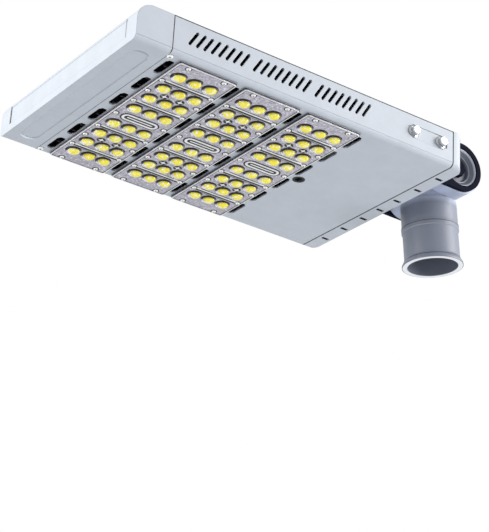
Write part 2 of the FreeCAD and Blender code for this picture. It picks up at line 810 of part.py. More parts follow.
def make_bay_parts():
    """Driver, surge protector and terminal block, each standing on its floor."""
    floor = s.TraySheet + s.BracketSheet
    place = s.BracketStart + s.DriverGap + s.DriverWidth / 2
    case = block("DriverCase", s.DriverWidth, s.DriverLength, s.DriverHeight, (place, 0), floor)
    foot = block("DriverFeet", s.DriverWidth, s.DriverLength + s.DriverFoot * 2, s.DriverFootThick,
                 (place, 0), floor)
    driver = join("driver", [case, foot])
    surge = slab("surge_protector", (s.BayPlace, s.BaySpread), s.TraySheet,
                 s.SurgeWidth, s.SurgeLength, s.SurgeHeight)
    base = block("TerminalBase", s.BlockWidth, s.BlockLength, s.BlockRise / 2,
                 (s.BayPlace, -s.BaySpread), s.TraySheet)
    top = block("TerminalTop", s.BlockWidth / 2, s.BlockLength, s.BlockRise,
                (s.BayPlace, -s.BaySpread), s.TraySheet)
    return [driver, surge, join("terminal_block", [base, top])]


def make_side_bolts():
    """Flanged hex bolts through the tray's sides into the notches of the cross bracket's ears."""
    seat = half_width - s.BoltRecessDepth
    flange = prism("SideFlange", FLANGE_SIDES, s.SideBoltFlange, s.SideBoltFlangeThick, (0, 0, 0))
    head = hexagon("SideHead", s.SideBoltFlats, s.SideBoltHead, (0, 0, s.SideBoltFlangeThick))
    shank = prism("SideShank", SHANK_SIDES, s.SideBoltRadius, s.SideBoltGrip, (0, 0, -s.SideBoltGrip))
    bolt = join("SideBoltMaster", [flange, head, shank])
    places = [at(x, seat * sign, s.BoltLevel, AGAINST_Y if sign < 0 else ALONG_Y)
              for sign in (-1, 1) for x in bolt_places]
    return group("side_bolts", bolt, places)


def make_arm(name, sign):
    """Dark side arm: a round end about the pivot, a tapering cheek and a foot on the rear cap."""
    body = new_body(f"bracket_arm_{name}")
    middle = (s.ArmSpan - s.ArmThick / 2) * -sign
    low = s.PivotLevel - s.ArmRadius
    angle = math.radians(sheet.get("ArmTopAngle"))
    cheek = new_sketch(body, "ArmCheek", "XZ_Plane", middle)
    polygon(cheek, [(foot_face, low), (s.PivotPlace, low), (s.PivotPlace, s.PivotLevel),
                    (s.PivotPlace - s.ArmRadius * math.sin(angle),
                     s.PivotLevel + s.ArmRadius * math.cos(angle)),
                    (foot_face, s.FootTop)])
    pad(body, "ArmCheekPad", cheek, s.ArmThick, both=True)
    disc = new_sketch(body, "ArmEnd", "XZ_Plane", middle)
    circle(disc, s.PivotPlace, s.PivotLevel, s.ArmRadius)
    pad(body, "ArmEndPad", disc, s.ArmThick, both=True)
    hole = new_sketch(body, "ArmHole", "XZ_Plane", middle)
    circle(hole, s.PivotPlace, s.PivotLevel, drum_bore)
    pocket(body, "ArmHoleCut", hole, s.ArmThick * 2, both=True)
    foot = new_sketch(body, "ArmFoot", "YZ_Plane", foot_face)
    width = s.FootWidth + s.ArmThick
    rectangle(foot, (arm_inside + width / 2) * sign, (low + s.FootTop) / 2, width, s.FootTop - low)
    pad(body, "ArmFootPad", foot, s.ArmThick)
    bores = new_sketch(body, "ArmFootBores", "YZ_Plane", foot_face)
    screw_hole(bores, foot_screw_y * sign, s.FootScrewLevel, s.FootScrewRadius + s.ScrewClearance)
    pocket(body, "ArmFootHoles", bores, s.ArmThick * 3, both=True)
    return body


def make_arm_screws():
    """One hex screw through each arm's foot and the rear cap's wall."""
    reach = s.ArmThick + s.RearCapWall + s.FootScrewEnd
    head = hexagon("FootHead", s.FootScrewFlats, s.FootScrewHead, (0, 0, 0))
    shank = prism("FootShank", SHANK_SIDES, s.FootScrewRadius, reach, (0, 0, -reach))
    screw = join("FootScrewMaster", [head, shank])
    places = [at(foot_face + s.ArmThick, foot_screw_y * sign, s.FootScrewLevel, ALONG_X)
              for sign in (-1, 1)]
    return group("arm_screws", screw, places)


def turned(name, profile):
    """Piece turned about the pivot line: profile of radius and distance from the middle plane."""
    body = new_body(name)
    sketch = new_sketch(body, "Profile", "XY_Plane")
    polygon(sketch, [(radius, place) for radius, place in profile])
    feature = add_feature(body, "PartDesign::Revolution", "Turn", sketch)
    feature.ReferenceAxis = (origin_of(body, "Y_Axis"), [""])
    return body


def make_pivot():
    """What lies on the pivot line: two dished cups, the bolt and its nut."""
    items = []
    rim = s.ArmSpan
    floor = rim - s.CupBottom
    face = floor + s.CupFloor
    hole = s.PivotBoltRadius + s.ScrewClearance
    outer = s.SpigotRadius
    lip = s.CupLip
    for name, sign in (("near", -1), ("far", 1)):
        cup = [(outer, rim), (outer, floor), (hole, floor), (hole, face), (s.CupThroat, face),
               (s.CupThroat, rim - s.CupDepth), (outer - lip, rim)]
        items.append(turned(f"pivot_cup_{name}", [(r, y * sign) for r, y in cup]))
    head = hexagon("PivotHead", s.PivotBoltFlats, s.PivotBoltHead, (0, -face, 0), AGAINST_Y)
    shank = cylinder("PivotShank", s.PivotBoltRadius, face * 2 + s.PivotBoltHead + s.PivotBoltEnd,
                     (0, -face, 0), ALONG_Y)
    items.append(join("pivot_bolt", [head, shank]))
    nut = hexagon("NutBlank", s.PivotBoltFlats, s.PivotBoltHead, (0, face, 0), ALONG_Y)
    bore = cylinder("NutBore", s.PivotBoltRadius + s.NutClearance, s.PivotBoltHead, (0, face, 0),
                    ALONG_Y)
    items.append(cut("pivot_nut", nut, bore))
    return items


def make_pole_sleeve():
    """Cast sleeve: socket for the pole, rim, band, neck and the cross drum that holds the pivot."""
    body = new_body("pole_sleeve")
    profile = new_sketch(body, "SleeveProfile", "XZ_Plane")
    polygon(profile, [
        (s.BoreRadius, 0), (s.RimRadius, 0), (s.RimRadius, s.RimHeight),
        (s.SleeveRadius, s.RimHeight + s.RimTaper), (s.SleeveRadius, s.BandLow),
        (s.BandRadius, s.BandLow), (s.BandRadius, s.BandHigh), (s.NeckRadius, s.BandHigh),
        (s.NeckRadius, s.NeckHeight), (0, s.NeckHeight), (0, s.SocketDepth),
        (s.BoreRadius, s.SocketDepth),
    ])
    tube = add_feature(body, "PartDesign::Revolution", "SleeveTurn", profile)
    tube.ReferenceAxis = (origin_of(body, "Z_Axis"), [""])
    lean = new_sketch(body, "NeckLean", "XY_Plane", s.NeckHeight - s.LeanSeat)
    circle(lean, 0, 0, s.NeckRadius - s.LeanStep)
    blend = pad(body, "NeckBlend", lean, s.PivotHeight - s.NeckHeight + s.LeanSeat)
    blend.UseCustomVector = True
    bind(blend, "Direction.x", -s.PivotOffset)
    bind(blend, "Direction.z", s.PivotHeight - s.NeckHeight)
    drum = new_sketch(body, "Drum", "XZ_Plane")
    circle(drum, -s.PivotOffset, s.PivotHeight, s.DrumRadius)
    pad(body, "DrumPad", drum, drum_half * 2, both=True)
    bore = new_sketch(body, "DrumBore", "XZ_Plane")
    circle(bore, -s.PivotOffset, s.PivotHeight, drum_bore)
    pocket(body, "DrumBoreCut", bore, arm_inside * 2, both=True)
    wire = new_sketch(body, "WireWay", "XY_Plane")
    screw_hole(wire, Size.of(0), Size.of(0), s.WireWayRadius)
    pocket(body, "WireWayCut", wire, s.PivotHeight, flip=True)
    screws = new_sketch(body, "SetScrewHoles", "YZ_Plane")
    for level in (s.SetScrewLow, s.SetScrewHigh):
        screw_hole(screws, Size.of(0), level, s.SetScrewRadius + s.ScrewClearance)
    pocket(body, "SetScrewCuts", screws, s.RimRadius)
    return body


def make_set_screws():
    under_head = s.NeckRadius + s.SetScrewStandOff
    tip = s.BoreRadius + s.SetScrewStandOff
    head = hexagon("SetHead", s.SetScrewFlats, s.SetScrewHead, (0, 0, under_head))
    shank = prism("SetShank", SHANK_SIDES, s.SetScrewRadius, under_head + s.SetScrewHead - tip,
                  (0, 0, tip))
    screw = join("SetScrewMaster", [head, shank])
    places = [at(0, 0, level, AGAINST_X) for level in (s.SetScrewLow, s.SetScrewHigh)]
    return group("sleeve_set_screws", screw, places)


def head_placement(local=Placement()):
    """Place in the part frame of something drawn in the head's drawing frame."""
    tilt = Rotation(Vector(0, 1, 0), -sheet.get("TiltAngle"))
    about = Rotation(Vector(0, 0, 1), 180)
    turn = tilt.multiply(about)
    pivot = Vector(-sheet.get("PivotOffset"), 0, sheet.get("PivotHeight"))
    drawn = Vector(sheet.get("PivotPlace"), 0, sheet.get("PivotLevel"))
    return Placement(pivot - turn.multVec(drawn), turn).multiply(local)


def build_all():
    flat = [make_nose_cap(), make_body_tray(), make_top_cover(), make_rear_cap()]
    dome = make_dome()
    for name, place in zip(module_names, module_places):
        flat += [make_heat_sink(name, place), make_led_board(name, place), make_led_chips(name, place),
                 make_gasket(name, place), make_lens_plate(name, place, dome)]
    flat.append(make_cross_bracket())
    flat += make_bay_parts() + [make_side_bolts(), make_arm_screws()]
    flat += [make_arm("near", -1), make_arm("far", 1)]
    pivot = make_pivot()
    fixed = [make_pole_sleeve(), make_set_screws()]
    doc.recompute()
    at_pivot = Placement(Vector(sheet.get("PivotPlace"), 0, sheet.get("PivotLevel")), Rotation())
    for item in flat:
        item.Placement = head_placement(item.Placement)
    for item in pivot:
        item.Placement = head_placement(at_pivot.multiply(item.Placement))
    doc.recompute()
    return flat + pivot + fixed


def check(parts):
    """Stop on any failed feature or unsound sub-part before anything is written."""
    for item in doc.Objects:
        if "Invalid" in item.State or "Error" in item.State:
            raise RuntimeError(f"{item.Name} failed to build: {item.State}")
    for item in parts:
        if item.Shape.isNull() or not item.Shape.isValid() or not item.Shape.Solids:
            raise RuntimeError(f"{item.Label} has no sound solid")


parts = build_all()
check(parts)
os.makedirs("parts", exist_ok=True)
for part in parts:
    part.Shape.exportStep(f"parts/{part.Label}.step")
print(f"{len(parts)} sub-parts written")
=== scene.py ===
import json
import math

import bmesh
import bpy
from mathutils import Matrix, Vector


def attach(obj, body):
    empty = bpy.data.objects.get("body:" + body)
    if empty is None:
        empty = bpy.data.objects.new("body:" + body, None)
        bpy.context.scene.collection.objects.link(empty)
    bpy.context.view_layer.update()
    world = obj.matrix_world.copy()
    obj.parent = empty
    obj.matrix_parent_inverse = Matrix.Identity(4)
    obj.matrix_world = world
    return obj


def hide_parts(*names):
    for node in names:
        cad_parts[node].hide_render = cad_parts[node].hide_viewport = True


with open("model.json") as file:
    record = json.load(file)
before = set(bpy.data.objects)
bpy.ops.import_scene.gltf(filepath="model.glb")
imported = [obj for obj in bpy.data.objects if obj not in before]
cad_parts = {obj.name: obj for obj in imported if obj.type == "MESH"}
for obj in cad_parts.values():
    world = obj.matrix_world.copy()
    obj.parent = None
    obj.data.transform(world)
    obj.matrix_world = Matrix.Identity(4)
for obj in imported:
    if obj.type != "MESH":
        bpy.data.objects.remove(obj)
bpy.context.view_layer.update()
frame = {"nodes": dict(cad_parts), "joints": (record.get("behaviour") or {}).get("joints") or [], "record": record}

# Drawing frame of the head, in millimetres: x from the nose to the rear, y across, z up from the
# underside of the bottom plate. The head is then tilted about the pivot as one.
MM = 0.001
TILT = math.radians(6)
DRAWN_PIVOT = Vector((518, 0, 64.5))
HOUSING_HALF = 143
MODULE_NAMES = ("front", "middle", "rear")
MODULE_FIRST = 97.3
MODULE_PITCH = 83.65
MODULE_WIDTH = 73
MODULE_LENGTH = 270
LENS_TOP = -2.5
LENS_FACE = -3.4
LED_COLUMNS = (-20, 0, 20)
LED_ROWS = (21.4, 51.2, 78.3, 108.1)
PAIR_MIDDLES = (36.3, 93.2)
DOME_RADIUS = 7.4
DOME_HEIGHT = 4.0
COLLAR_RADIUS = 8.9
COLLAR_HEIGHT = 0.9
SHADE_RING_RADIUS = 9.5
SHADE_RING_SHIFT = 1.9
# Materials of a lens plate by their number in its list: plain plastic, painted shade, painted highlight
PLASTIC, PAINTED_SHADE, PAINTED_HIGHLIGHT = range(3)
# Steps of the plate's rim: inset, width, height, material; a white step of painted highlight and a dark line of
# painted shade
RIM_STEPS = ((0.4, 1.1, 0.3, PAINTED_HIGHLIGHT), (1.5, 0.9, 0.1, PAINTED_SHADE))
# Ribs between two rows of lenses: shift across, length, width, height, material; the white bar is a painted
# highlight on the rib's lit flank, the black bars are painted shadow lines beside it
RIBS = ((-3.1, 44, 1.0, 0.15, PAINTED_SHADE), (-1.5, 57, 2.0, 0.6, PAINTED_HIGHLIGHT), (1.0, 58, 2.7, 0.6, PAINTED_SHADE),
        (3.2, 44, 1.4, 0.4, PLASTIC), (4.6, 36, 1.1, 0.15, PAINTED_SHADE))
# Rings of the loop in the plate's middle: length, width, thickness, height, material; a painted shade outline
# round a painted highlight ring
LOOP_RINGS = ((49, 17, 1.8, 0.3, PAINTED_SHADE), (45.4, 13.4, 2.9, 0.5, PAINTED_HIGHLIGHT))
# Bars inside the loop: length, width, height, material; a painted shade bar round a painted highlight bar
LOOP_BARS = ((39.6, 7.6, 0.3, PAINTED_SHADE), (33, 2.0, 0.55, PAINTED_HIGHLIGHT))
STAR_COLUMNS = (-10, 10)
STAR_ROW = 64.7
STAR_POINTS = 4
STAR_REACH = 4.6
STAR_WAIST = 1.5
STAR_HEIGHT = 0.5
STAR_WELL_RADIUS = 5.2
# Directions in the plate towards which a lens foot gets its painted highlight and its painted shade
BRIGHT_WAY = Vector((-0.328, 0.944))
DARK_WAY = Vector((-0.700, -0.714))
EDGE_SCREW_X = 31.5
EDGE_SCREW_ROWS = (-92.7, -64.8, -36.9, -0.7, 36.7, 64.2, 92.6)
CORNER_SCREW_X = 22.7
CORNER_SCREW_Y = 130
LENS_SCREW_RADIUS = 2.8
LENS_SCREW_HEIGHT = 1.2
NOSE_SCREW = (48.2, 134)
NOSE_SCREW_RADIUS = 3.7
NOSE_SCREW_HEIGHT = 1.5
NOSE_SEAM = 45.05
REAR_SEAM = 429.35
SIDE_TOP = 45
FACE_GROOVE = 121.4
FACE_GROOVE_WIDTH = 1.3
FACE_GROOVE_LOW = 9.5
FACE_GROOVE_HIGH = 31.5
FOLD_RADIUS = 6
FOLD_LINE_START = 1
FOLD_LINE_ANGLES = (0.10, 0.26)
CABLE_HOLE = (317.2, 0)
GROMMET_OUTSIDE = 7.5
GROMMET_INSIDE = 4.4
NOSE_RECESS_PLACE = 22.45
NOSE_RECESS_END = 112
NOSE_RECESS_RADIUS = 12
NOSE_RECESS_DEPTH = 0.9
RECESS_SHADE_WIDTH = 3.4
RECESS_SHADE_ANGLE = 1.0
REAR_SLOT_PLACE = 439.1
REAR_SLOT_FIRST = 31.8
REAR_SLOT_PITCH = 37.4
REAR_SLOT_SHIFT = -0.6
REAR_SLOTS_A_SIDE = 3
SLOT_SHADE_OUTSIDE = (9.3, 4.1)
SLOT_SHADE_INSIDE = (7.9, 2.3)
BOLT_PLACES = (371, 411)
BOLT_LEVEL = 24.2
BOLT_RECESS_DEPTH = 0.8
BOLT_FLATS = 10.4
BOLT_HEAD = 5.4
BOLT_FLANGE_RADIUS = 7.4
BOLT_FLANGE_THICK = 1.4
ARM_SPAN = 57
CUP_RADIUS = 24.9
CUP_BACK = 14
# Lips at a cup's rim and throat: radius, depth below the rim, size
RIM_LIP = (CUP_RADIUS - 0.75, 1.9, 0.7)
THROAT_LIP = (18.3, 7.6, 0.9)
# Inside of a cup, down the dish and then the throat: radius, depth below the rim
CUP_DISH = ((22.8, 3.2), (21.2, 5.0), (19.6, 7.2))
CUP_THROAT = ((17.0, 9.6), (16.6, 12.0), (6.2, 12.0), (6.2, CUP_BACK))
SLEEVE_RADIUS = 33.9
BAND_RADIUS = 35.0
BAND_LOW = 44.0
BAND_LINE = 48.0
MOUTH_INSIDE = 31.0
MOUTH_OUTSIDE = 36.6
# Section of the painted shadow line over the sleeve's rim: radius, height
RIM_SHADOW_LINE = ((34.6, 5.6), (35.54, 5.6), (35.01, 6.6), (34.3, 6.6))
# Points closer than this are joined where a ring of faces closes
WELD = 0.0005
# Heights in the part frame, in metres, between which the sleeve's coat turns lighter as painted light on the drum
DRUM_LIGHT_LOW = 0.072
DRUM_LIGHT_HIGH = 0.084

# The camera as it stands to the drawn head
IMAGE = (489, 532)
FOCAL_PIXELS = 1873.4
SENSOR = 36.0
CAMERA_PLACE = Vector((-824.5, -1573.0, -994.6))
CAMERA_FORWARD = Vector((0.51318, 0.75255, 0.41269))
CAMERA_RIGHT = Vector((0.81127, -0.58226, 0.05296))

FLOOR_LEVEL = -2.4
FLOOR_SIZE = 60.0
WORLD_LIGHT = 0.47

BLACK = (0, 0, 0)
WHITE = (1, 1, 1)
DEEP_SHADE = (0.012, 0.012, 0.015)


def head_matrix():
    pivot = Vector(frame["joints"][0]["pos_m"])
    turn = Matrix.Rotation(-TILT, 4, "Y") @ Matrix.Rotation(math.pi, 4, "Z")
    return Matrix.Translation(pivot) @ turn @ Matrix.Scale(MM, 4) @ Matrix.Translation(-DRAWN_PIVOT)


HEAD = head_matrix()


# Materials
def new_material(name, color, roughness, metallic=0.0, **more):
    """Principled material; uniform values sit on the shader's own sockets."""
    made = bpy.data.materials.new(name)
    made.use_nodes = True
    shader = made.node_tree.nodes["Principled BSDF"]
    shader.inputs["Base Color"].default_value = (*color, 1)
    shader.inputs["Roughness"].default_value = roughness
    shader.inputs["Metallic"].default_value = metallic
    for socket, value in more.items():
        shader.inputs[socket.replace("_", " ")].default_value = value
    return made, made.node_tree, shader


def noise(tree, scale, detail=2.0, rough=0.5, stretch=None):
    """Noise over the part frame, in metres, stretched along an axis where that is given."""
    place = tree.nodes.new("ShaderNodeTexCoord").outputs["Object"]
    if stretch is not None:
        mapping = tree.nodes.new("ShaderNodeMapping")
        mapping.inputs["Scale"].default_value = stretch
        tree.links.new(place, mapping.inputs["Vector"])
        place = mapping.outputs["Vector"]
    node = tree.nodes.new("ShaderNodeTexNoise")
    node.inputs["Scale"].default_value = scale
    node.inputs["Detail"].default_value = detail
    node.inputs["Roughness"].default_value = rough
    tree.links.new(place, node.inputs["Vector"])
    return node.outputs["Fac"]


def ramp(tree, factor, stops):
    """Colour ramp through (position, colour) stops."""
    node = tree.nodes.new("ShaderNodeValToRGB")
    band = node.color_ramp
    while len(band.elements) < len(stops):
        band.elements.new(0.5)
    for element, (position, color) in zip(band.elements, stops):
        element.position = position
        element.color = (*color, 1)
    tree.links.new(factor, node.inputs["Fac"])
    return node.outputs["Color"]


def shade(color, factor):
    return tuple(min(1.0, channel * factor) for channel in color)


def vary_color(tree, shader, color, spread, scale):
    stops = [(0.3, shade(color, 1 - spread)), (0.7, shade(color, 1 + spread))]
    tree.links.new(ramp(tree, noise(tree, scale, 3.0, 0.6), stops), shader.inputs["Base Color"])


def vary_roughness(tree, shader, low, high, scale):
    span = tree.nodes.new("ShaderNodeMapRange")
    span.inputs["To Min"].default_value = low
    span.inputs["To Max"].default_value = high
    tree.links.new(noise(tree, scale), span.inputs["Value"])
    tree.links.new(span.outputs["Result"], shader.inputs["Roughness"])


def add_surface(tree, shader, grains, edge=0.0):
    """Bumps of several (scale, height, stretch) grains over softened edges."""
    normal = None
    if edge:
        bevel = tree.nodes.new("ShaderNodeBevel")
        bevel.samples = 6
        bevel.inputs["Radius"].default_value = edge
        normal = bevel.outputs["Normal"]
    for scale, height, stretch in grains:
        bump = tree.nodes.new("ShaderNodeBump")
        bump.inputs["Strength"].default_value = 1.0
        bump.inputs["Distance"].default_value = height
        tree.links.new(noise(tree, scale, stretch=stretch), bump.inputs["Height"])
        if normal is not None:
            tree.links.new(normal, bump.inputs["Normal"])
        normal = bump.outputs["Normal"]
    tree.links.new(normal, shader.inputs["Normal"])


def paint_shade_in_depths(tree, shader, reach):
    """Painted shade: darken what lies deep in slots and holes, where light hardly comes."""
    color = shader.inputs["Base Color"].links[0].from_socket
    depth = tree.nodes.new("ShaderNodeAmbientOcclusion")
    depth.samples = 8
    depth.inputs["Distance"].default_value = reach
    open_share = ramp(tree, depth.outputs["AO"], [(0.30, BLACK), (0.46, WHITE)])
    tree.links.new(blend(tree, open_share, DEEP_SHADE, color), shader.inputs["Base Color"])


def painted(name, color, roughness, edge, sheen=0.5, shade_reach=0.0):
    """Satin powder coat: fine orange peel, faint cloudiness, softened edges; with shade_reach, painted shade deep
    in slots and holes.
    """
    made, tree, shader = new_material(name, color, roughness, Specular_IOR_Level=sheen)
    vary_color(tree, shader, color, 0.03, 45)
    if shade_reach:
        paint_shade_in_depths(tree, shader, shade_reach)
    vary_roughness(tree, shader, roughness - 0.06, roughness + 0.06, 120)
    add_surface(tree, shader, [(900, 0.00002, None), (2600, 0.00001, None)], edge)
    return made


def sleeve_material(name, color):
    """The sleeve's coat, with painted light making the drum lighter than the socket below it."""
    made, tree, shader = new_material(name, color, 0.45, Specular_IOR_Level=0.6)
    place = tree.nodes.new("ShaderNodeTexCoord").outputs["Object"]
    parts = tree.nodes.new("ShaderNodeSeparateXYZ")
    tree.links.new(place, parts.inputs[0])
    height = tree.nodes.new("ShaderNodeMapRange")
    height.inputs["From Min"].default_value = DRUM_LIGHT_LOW
    height.inputs["From Max"].default_value = DRUM_LIGHT_HIGH
    tree.links.new(parts.outputs["Z"], height.inputs["Value"])
    vary_color(tree, shader, color, 0.03, 45)
    base = shader.inputs["Base Color"].links[0].from_socket
    # Painted light: the lighter coat that the drum takes above these heights
    light = ramp(tree, noise(tree, 45), [(0.3, shade(color, 2.7)), (0.7, shade(color, 2.85))])
    tree.links.new(blend(tree, height.outputs["Result"], base, light), shader.inputs["Base Color"])
    vary_roughness(tree, shader, 0.40, 0.52, 120)
    add_surface(tree, shader, [(900, 0.00004, None), (2600, 0.00002, None)], 0.0012)
    return made


def metal(name, color, roughness):
    made, tree, shader = new_material(name, color, roughness, 1.0)
    vary_color(tree, shader, color, 0.06, 300)
    vary_roughness(tree, shader, roughness - 0.06, roughness + 0.1, 500)
    add_surface(tree, shader, [(1500, 0.00001, None)], 0.0004)
    return made


def plastic(name, color, roughness, spread=0.05, coat=0.0):
    made, tree, shader = new_material(name, color, roughness, Coat_Weight=coat, Coat_Roughness=0.05)
    vary_color(tree, shader, color, spread, 90)
    vary_roughness(tree, shader, roughness - 0.05, roughness + 0.05, 200)
    add_surface(tree, shader, [(700, 0.00003, None)], 0.0003)
    return made


def heat_sink_material(name):
    """Bare machined flange below the underside of the tray; above it the fins are painted near black as painted
    shade inside the housing.
    """
    dark = (0.022, 0.021, 0.023)
    bare = (0.42, 0.43, 0.47)
    made, tree, shader = new_material(name, dark, 0.45, 0.6)
    place = tree.nodes.new("ShaderNodeTexCoord").outputs["Object"]
    normal = HEAD.to_3x3() @ Vector((0, 0, 1))
    normal.normalize()
    level = (HEAD @ Vector((0, 0, 0.2))).dot(normal)
    dot = tree.nodes.new("ShaderNodeVectorMath")
    dot.operation = "DOT_PRODUCT"
    dot.inputs[1].default_value = normal
    tree.links.new(place, dot.inputs[0])
    above = tree.nodes.new("ShaderNodeMath")
    above.operation = "GREATER_THAN"
    above.inputs[1].default_value = level
    tree.links.new(dot.outputs["Value"], above.inputs[0])
    # Painted shade: near black above the tray's underside
    tint = ramp(tree, above.outputs["Value"], [(0.4, bare), (0.6, dark)])
    tree.links.new(tint, shader.inputs["Base Color"])
    vary_roughness(tree, shader, 0.35, 0.55, 400)
    add_surface(tree, shader, [(800, 0.00002, (1, 0.05, 1))], 0.0003)
    return made


def lens_material(name):
    """Clear moulded plastic over a white board: mauve grey, glossy, with flow marks and painted glints of
    reflection.
    """
    base = (0.45, 0.435, 0.51)
    made, tree, shader = new_material(name, base, 0.16, Coat_Weight=0.6, Coat_Roughness=0.03)
    field = noise(tree, 330, 4.0, 0.72)
    # The stops darken and lighten the plate in patches; the brightest patches are painted glints of reflection
    stops = [(0.30, shade(base, 0.22)), (0.42, shade(base, 0.85)), (0.56, shade(base, 1.08)),
             (0.66, shade(base, 1.95))]
    tree.links.new(ramp(tree, field, stops), shader.inputs["Base Color"])
    vary_roughness(tree, shader, 0.10, 0.30, 260)
    add_surface(tree, shader, [(240, 0.00025, None), (900, 0.00005, None)], 0.0003)
    return made


def attribute(tree, name):
    node = tree.nodes.new("ShaderNodeAttribute")
    node.attribute_name = name
    return node.outputs["Fac"]


def wavering(tree, factor, share):
    """A factor plus a share of noise, so that its steps run unevenly."""
    shift = tree.nodes.new("ShaderNodeMath")
    shift.operation = "MULTIPLY_ADD"
    shift.inputs[1].default_value = share
    tree.links.new(noise(tree, 450, 2.0, 0.6), shift.inputs[0])
    tree.links.new(factor, shift.inputs[2])
    return shift.outputs["Value"]


def blend(tree, factor, first, second):
    """Mix two colours by a factor. Each is an output or a plain colour."""
    mix = tree.nodes.new("ShaderNodeMix")
    mix.data_type = "RGBA"
    tree.links.new(factor, mix.inputs["Factor"])
    for socket, source in (("A", first), ("B", second)):
        if isinstance(source, tuple):
            mix.inputs[socket].default_value = (*source, 1)
        else:
            tree.links.new(source, mix.inputs[socket])
    return mix.outputs["Result"]


def dome_material(name):
    """Glossy lens over yellow phosphor in patches, with a painted highlight and reflection on the flank towards
    BRIGHT_WAY.
    """
    yellow = (1.0, 0.87, 0.006)
    pale = (1.0, 0.97, 0.50)
    deep = (0.95, 0.60, 0.03)
    made, tree, shader = new_material(name, yellow, 0.10, Coat_Weight=1.0, Coat_Roughness=0.02)
    patches = ramp(tree, noise(tree, 290, 2.0, 0.6), [
        (0.30, deep), (0.38, yellow), (0.53, yellow), (0.60, pale), (0.70, (1.0, 0.99, 0.90)),
    ])
    # Painted highlight and reflection, from dark to white, on the flank towards BRIGHT_WAY
    glint = ramp(tree, wavering(tree, attribute(tree, "glint"), 0.35), [(0.44, BLACK), (0.54, WHITE)])
    clear = ramp(tree, noise(tree, 500, 2.0, 0.6), [
        (0.34, (0.10, 0.10, 0.11)), (0.42, (0.80, 0.81, 0.84)), (0.6, WHITE),
    ])
    tree.links.new(blend(tree, glint, patches, clear), shader.inputs["Base Color"])
    add_surface(tree, shader, [(420, 0.0002, None)])
    return made


def collar_material(name):
    """Clear lens foot: painted shade on the side towards DARK_WAY, painted highlight on the side towards
    BRIGHT_WAY.
    """
    made, tree, shader = new_material(name, (0.5, 0.5, 0.52), 0.12, Coat_Weight=0.7, Coat_Roughness=0.03)
    tint = ramp(tree, wavering(tree, attribute(tree, "light_shade_tone"), 0.24), [
        (0.40, (0.004, 0.004, 0.006)), (0.54, (0.20, 0.20, 0.23)), (0.66, (0.50, 0.50, 0.55)),
        (0.82, WHITE),
    ])
    tree.links.new(tint, shader.inputs["Base Color"])
    add_surface(tree, shader, [(500, 0.0001, None)])
    return made


MATERIALS = {
    # The housing coat carries painted shade deep in its slots and holes
    "housing_paint": painted("housing_paint", (0.525, 0.565, 0.625), 0.46, 0.0009, sheen=0.35, shade_reach=0.008),
    "sleeve_paint": sleeve_material("sleeve_paint", (0.19, 0.21, 0.268)),
    "groove_shade": painted("groove_shade", (0.30, 0.32, 0.37), 0.50, 0.0003),
    "recess_shade": painted("recess_shade", (0.37, 0.40, 0.455), 0.50, 0.0003),
    "recess_light": painted("recess_light", (0.76, 0.81, 0.88), 0.50, 0.0003),
    "sleeve_shadow": painted("sleeve_shadow", (0.055, 0.06, 0.08), 0.50, 0.0005),
    "sleeve_lip_highlight": painted("sleeve_lip_highlight", (0.27, 0.29, 0.35), 0.42, 0.0005),
    "sleeve_mouth_highlight": painted("sleeve_mouth_highlight", (0.88, 0.90, 0.94), 0.38, 0.0005),
    "dark_paint": painted("dark_paint", (0.008, 0.009, 0.020), 0.60, 0.0008, sheen=0.02),
    "cup_metal": painted("cup_metal", (0.155, 0.168, 0.22), 0.42, 0.0006, sheen=0.4),
    "cup_rim_highlight": painted("cup_rim_highlight", (0.52, 0.54, 0.60), 0.30, 0.0003),
    "cup_throat_highlight": painted("cup_throat_highlight", (0.21, 0.225, 0.27), 0.40, 0.0005),
    "fastener_steel": metal("fastener_steel", (0.56, 0.57, 0.60), 0.44),
    "washer_steel": metal("washer_steel", (0.44, 0.45, 0.49), 0.28),
    # White screw heads: painted reflection of the studio light on the steel
    "screw_painted_reflection": plastic("screw_painted_reflection", WHITE, 0.25, 0.04, 0.4),
    "heat_sink_metal": heat_sink_material("heat_sink_metal"),
    "board_mask": plastic("board_mask", (0.75, 0.75, 0.74), 0.35),
    "phosphor": plastic("phosphor", (0.85, 0.70, 0.08), 0.5),
    "gasket_rubber": plastic("gasket_rubber", (0.008, 0.008, 0.011), 0.55),
    "lens_plastic": lens_material("lens_plastic"),
    "lens_dome": dome_material("lens_dome"),
    "lens_collar": collar_material("lens_collar"),
    "painted_highlight_white": plastic("painted_highlight_white", (0.95, 0.96, 1.0), 0.20, 0.22, 0.5),
    "painted_shade_black": plastic("painted_shade_black", (0.004, 0.004, 0.007), 0.40),
    "driver_case": painted("driver_case", (0.42, 0.43, 0.45), 0.45, 0.0006),
    "black_plastic": plastic("black_plastic", (0.03, 0.03, 0.033), 0.42),
    "pale_plastic": plastic("pale_plastic", (0.62, 0.62, 0.60), 0.38),
}


def dress_cad_nodes():
    """Every carried-over node takes the material of its slot in the record."""
    slots = {row["node"]: row["material_slot"] for row in frame["record"]["subparts"]}
    for node, item in frame["nodes"].items():
        item.data.materials.clear()
        item.data.materials.append(MATERIALS[slots[node]])


# Mesh helpers, all in drawing millimetres
def finish_piece(name, mesh, materials, body="head", matrix=HEAD, smooth=35, replaces=()):
    """Put a drawn mesh into the part frame as a named piece that rides on a body."""
    data = bpy.data.meshes.new(name)
    bmesh.ops.transform(mesh, matrix=matrix, verts=mesh.verts)
    bmesh.ops.recalc_face_normals(mesh, faces=mesh.faces)
    mesh.to_mesh(data)
    mesh.free()
    data.shade_smooth()
    data.set_sharp_from_angle(angle=math.radians(smooth))
    for material in materials:
        data.materials.append(MATERIALS[material])
    item = bpy.data.objects.new(name, data)
    bpy.context.scene.collection.objects.link(item)
    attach(item, body)
    if replaces:
        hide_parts(*replaces)


